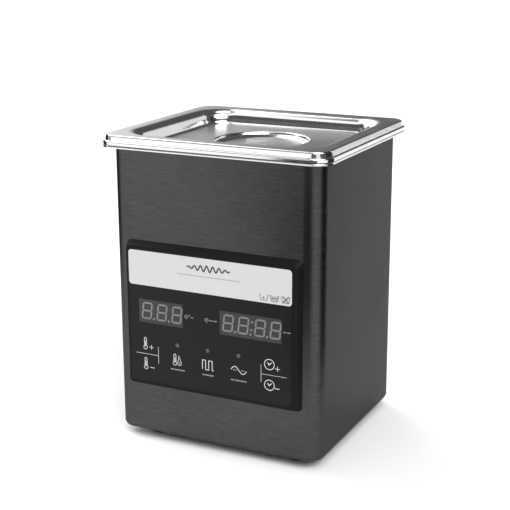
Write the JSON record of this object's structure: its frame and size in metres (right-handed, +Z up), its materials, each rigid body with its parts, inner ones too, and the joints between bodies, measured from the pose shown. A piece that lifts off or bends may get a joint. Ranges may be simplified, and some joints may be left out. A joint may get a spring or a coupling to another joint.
{
  "type": "ultrasonic cleaner",
  "caption": "Bench-top ultrasonic cleaner with a dark rounded steel housing, a bright lift-off lid over a deep pressed tank, and a touch panel with digit displays on its front.",
  "frame": {"origin": "on the surface it stands on, under the middle of the housing and tank", "axes": "+Z up, the control panel faces -Y, +X to the right as seen from the front"},
  "size_m": [0.1736, 0.1587, 0.2245],
  "materials": {
    "housing_steel": "black brushed steel, satin",
    "base_steel": "black powder coat",
    "tank_steel": "bright pressed stainless steel",
    "lid_steel": "bright pressed stainless steel",
    "basket_steel": "electropolished stainless mesh",
    "screw_steel": "zinc plated",
    "black_screw": "black zinc",
    "foot_rubber": "black moulded rubber",
    "gasket_rubber": "silicone strip",
    "bezel_plastic": "fine satin moulding",
    "overlay_film": "printed film, satin gloss",
    "label_film": "pale printed film",
    "display_face": "smoked display face",
    "light_lens": "unlit lens",
    "board_green": "solder mask",
    "spring_steel": "plated",
    "aluminium": "machined",
    "mass_steel": "turned steel",
    "piezo_ceramic": "fired, silver faces",
    "copper": "copper strip",
    "heater_silicone": "orange silicone pad",
    "black_component": "moulded case",
    "ferrite": "sintered ferrite",
    "winding": "enamelled copper wire",
    "capacitor_sleeve": "shrink sleeve",
    "film_case": "dipped case",
    "connector_plastic": "moulded",
    "inlet_plastic": "moulded",
    "terminal_brass": "nickelled",
    "fuse_glass": "clear tube",
    "rocker_plastic": "moulded",
    "fan_plastic": "moulded",
    "lead_insulation": "insulated wire",
    "ribbon_insulation": "ribbon cable"
  },
  "bodies": {
    "cabinet": {"housing": "housing_steel", "base_plate": "base_steel", "foot_front_left": "foot_rubber", "foot_front_right": "foot_rubber", "foot_rear_left": "foot_rubber", "foot_rear_right": "foot_rubber", "foot_screws": "black_screw", "base_screws": "black_screw", "tank": "tank_steel", "rim_gasket": "gasket_rubber", "transducer_horn_left": "aluminium", "transducer_horn_right": "aluminium", "back_mass_left": "mass_steel", "back_mass_right": "mass_steel", "piezo_rings": "piezo_ceramic", "electrodes": "copper", "transducer_bolts": "screw_steel", "heater_pad": "heater_silicone", "thermal_cutout": "black_component", "temperature_probe": "terminal_brass", "panel_bezel": "bezel_plastic", "panel_overlay": "overlay_film", "panel_label": "label_film", "temperature_display": "display_face", "timer_display": "display_face", "indicator_lights": "light_lens", "display_board": "board_green", "touch_springs": "spring_steel", "display_chips": "black_component", "panel_screws": "screw_steel", "generator_board": "board_green", "board_standoffs": "terminal_brass", "board_screws": "screw_steel", "heatsink": "aluminium", "power_transistors": "black_component", "transformer_core": "ferrite", "transformer_winding": "winding", "choke": "winding", "bulk_capacitors": "capacitor_sleeve", "film_capacitors": "film_case", "bridge_rectifier": "black_component", "relay": "black_component", "board_connectors": "connector_plastic", "inlet_body": "inlet_plastic", "mains_terminals": "terminal_brass", "inlet_screws": "screw_steel", "switch_body": "inlet_plastic", "fan_frame": "fan_plastic", "mains_leads": "lead_insulation", "load_leads": "lead_insulation", "display_ribbon": "ribbon_insulation"},
    "lid": {"lid": "lid_steel"},
    "basket": {"basket_mesh": "basket_steel", "basket_rim": "basket_steel", "basket_handles": "basket_steel", "basket_feet": "basket_steel"},
    "rocker": {"switch_rocker": "rocker_plastic"},
    "drawer": {"fuse_drawer": "inlet_plastic", "fuse": "fuse_glass"},
    "rotor": {"fan_rotor": "fan_plastic"}
  },
  "joints": [
    {"name": "lid_lift", "type": "slide", "parent": "cabinet", "child": "lid", "axis": [0, 0, 1], "range_m": [0, 0.25]},
    {"name": "basket_lift", "type": "slide", "parent": "cabinet", "child": "basket", "axis": [0, 0, 1], "range_m": [0, 0.12]},
    {"name": "switch_press", "type": "hinge", "parent": "cabinet", "child": "rocker", "pos_m": [-0.004, 0.0733, 0.046], "axis": [1, 0, 0], "range_deg": [-18, 0]},
    {"name": "fuse_drawer_slide", "type": "slide", "parent": "cabinet", "child": "drawer", "axis": [0, 1, 0], "range_m": [0, 0.018]},
    {"name": "fan_spin", "type": "hinge", "parent": "cabinet", "child": "rotor", "pos_m": [0.036, 0.008, 0.015], "axis": [0, 0, 1], "continuous": true}
  ],
  "couplings": [
    {"joint": "basket_lift", "follows": "lid_lift", "ratio": 0.48}
  ]
}
